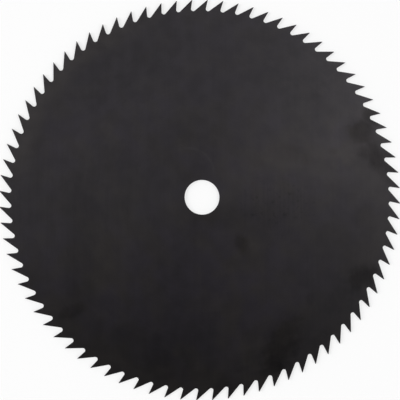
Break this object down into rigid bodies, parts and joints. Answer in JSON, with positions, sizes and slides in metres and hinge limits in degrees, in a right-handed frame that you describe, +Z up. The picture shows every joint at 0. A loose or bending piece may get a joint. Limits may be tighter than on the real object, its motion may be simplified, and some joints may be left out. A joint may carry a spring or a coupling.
{
  "type": "brush cutter blade",
  "caption": "Flat round steel saw blade for a brush cutter, with hooked teeth all round the rim and a plain central arbor hole.",
  "frame": {"origin": "on the arbor axis, in the plane of the lower face that the blade lies on", "axes": "+Z up along the arbor axis, +Y towards the top of the picture, +X towards its right"},
  "size_m": [0.2298, 0.2298, 0.0014],
  "materials": {
    "blackened_steel": "satin black finish over the whole sheet, edges included"
  },
  "bodies": {
    "root": {"blade": "blackened_steel"}
  },
  "joints": []
}
